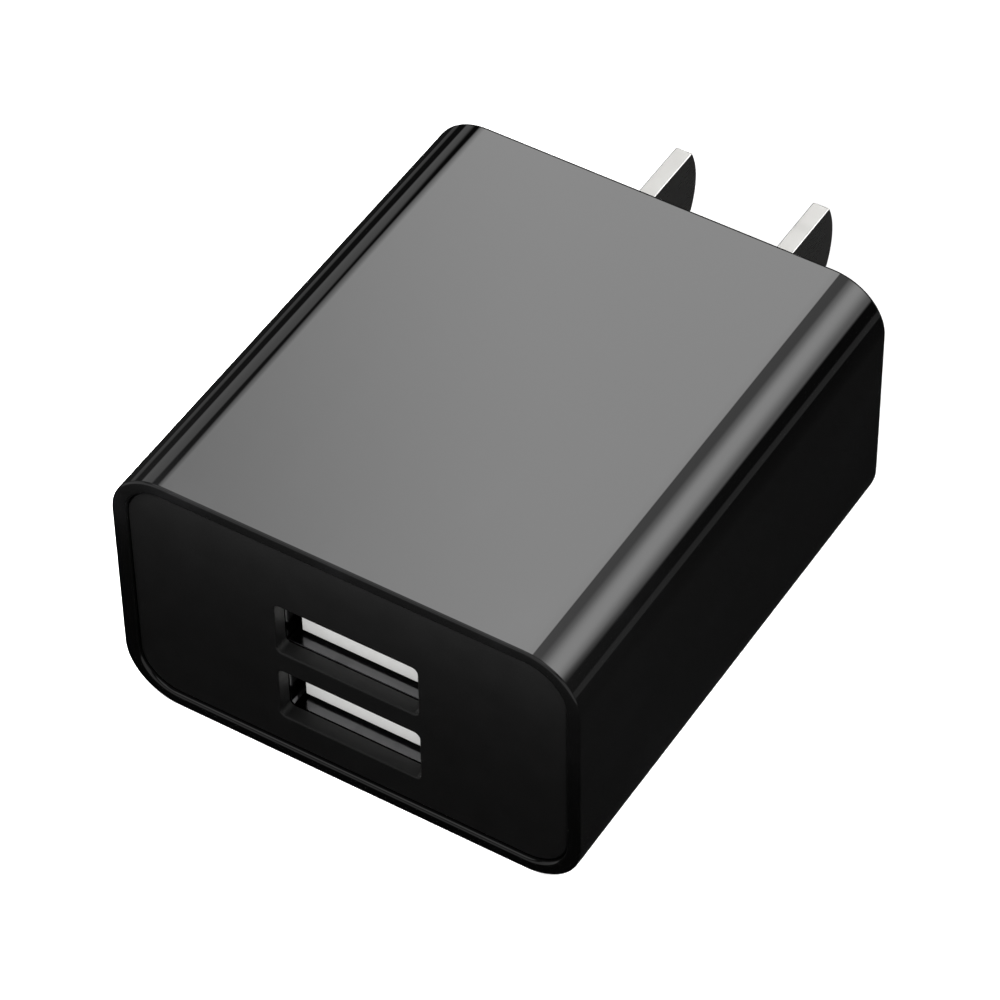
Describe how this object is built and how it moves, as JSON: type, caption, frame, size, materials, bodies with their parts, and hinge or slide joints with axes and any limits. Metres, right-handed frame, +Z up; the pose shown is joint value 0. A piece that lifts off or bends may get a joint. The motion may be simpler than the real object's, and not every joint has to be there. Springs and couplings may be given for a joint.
{
  "type": "usb wall charger",
  "caption": "Rounded block mains charger with flat plug blades on its back, stacked USB sockets on its front and a complete power supply inside.",
  "frame": {"origin": "on the back face that meets the wall outlet, midway between the plug blades and at their mid height", "axes": "+Y out of the back face, the way the blades point; -Y towards the sockets; +Z up, across the thin side; +X right seen from the sockets"},
  "size_m": [0.0406, 0.0616, 0.0242],
  "materials": {
    "housing": "gloss black",
    "panel": "satin black",
    "blade": "bright nickel plate",
    "carrier": "moulded black",
    "clip": "rolled strip",
    "board": "green solder mask",
    "receptacle_steel": "dark nickel on sheet steel",
    "insulator": "white moulding",
    "contact": "gold flash",
    "ferrite": "sintered",
    "bobbin": "moulded black",
    "copper": "enamelled wire",
    "tape": "yellow polyester film",
    "lead": "tinned",
    "can": "dark sleeve",
    "seal": "moulded",
    "chip": "moulded epoxy",
    "fuse": "green lacquer",
    "disc": "blue lacquer",
    "chip_part": "ceramic chips"
  },
  "bodies": {
    "charger": {"housing": "housing", "front_panel": "panel", "blade_left": "blade", "blade_right": "blade", "blade_carrier": "carrier", "blade_clip_left": "clip", "blade_clip_right": "clip", "main_board": "board", "port_shell": "receptacle_steel", "port_divider": "receptacle_steel", "upper_insulator": "insulator", "lower_insulator": "insulator", "tail_spacer": "insulator", "upper_contact_tails": "contact", "lower_contact_tails": "contact", "core_front": "ferrite", "core_rear": "ferrite", "choke_core": "ferrite", "bobbin": "bobbin", "primary_winding": "copper", "secondary_winding": "copper", "choke_coil": "copper", "core_tape": "tape", "winding_tape": "tape", "transformer_pins": "lead", "capacitor_leads": "lead", "bridge_leads": "lead", "fuse_leads": "lead", "safety_capacitor_leads": "lead", "chip_leads": "lead", "input_capacitor_front": "can", "input_capacitor_rear": "can", "output_capacitor_left": "can", "output_capacitor_right": "can", "capacitor_seals": "seal", "bridge_rectifier": "chip", "controller_chip": "chip", "rectifier_chip": "chip", "fuse_resistor": "fuse", "safety_capacitor": "disc", "chip_parts": "chip_part"},
    "upper_contacts": {"upper_contact_beams": "contact"},
    "lower_contacts": {"lower_contact_beams": "contact"}
  },
  "joints": [
    {"name": "upper_contacts_press", "type": "hinge", "parent": "charger", "child": "upper_contacts", "pos_m": [0, -0.0346, 0.00211], "axis": [1, 0, 0], "range_deg": [0, 4.5], "stiffness_Nm_per_rad": 0.19},
    {"name": "lower_contacts_press", "type": "hinge", "parent": "charger", "child": "lower_contacts", "pos_m": [0, -0.0346, -0.00509], "axis": [1, 0, 0], "range_deg": [0, 4.5], "stiffness_Nm_per_rad": 0.19}
  ]
}
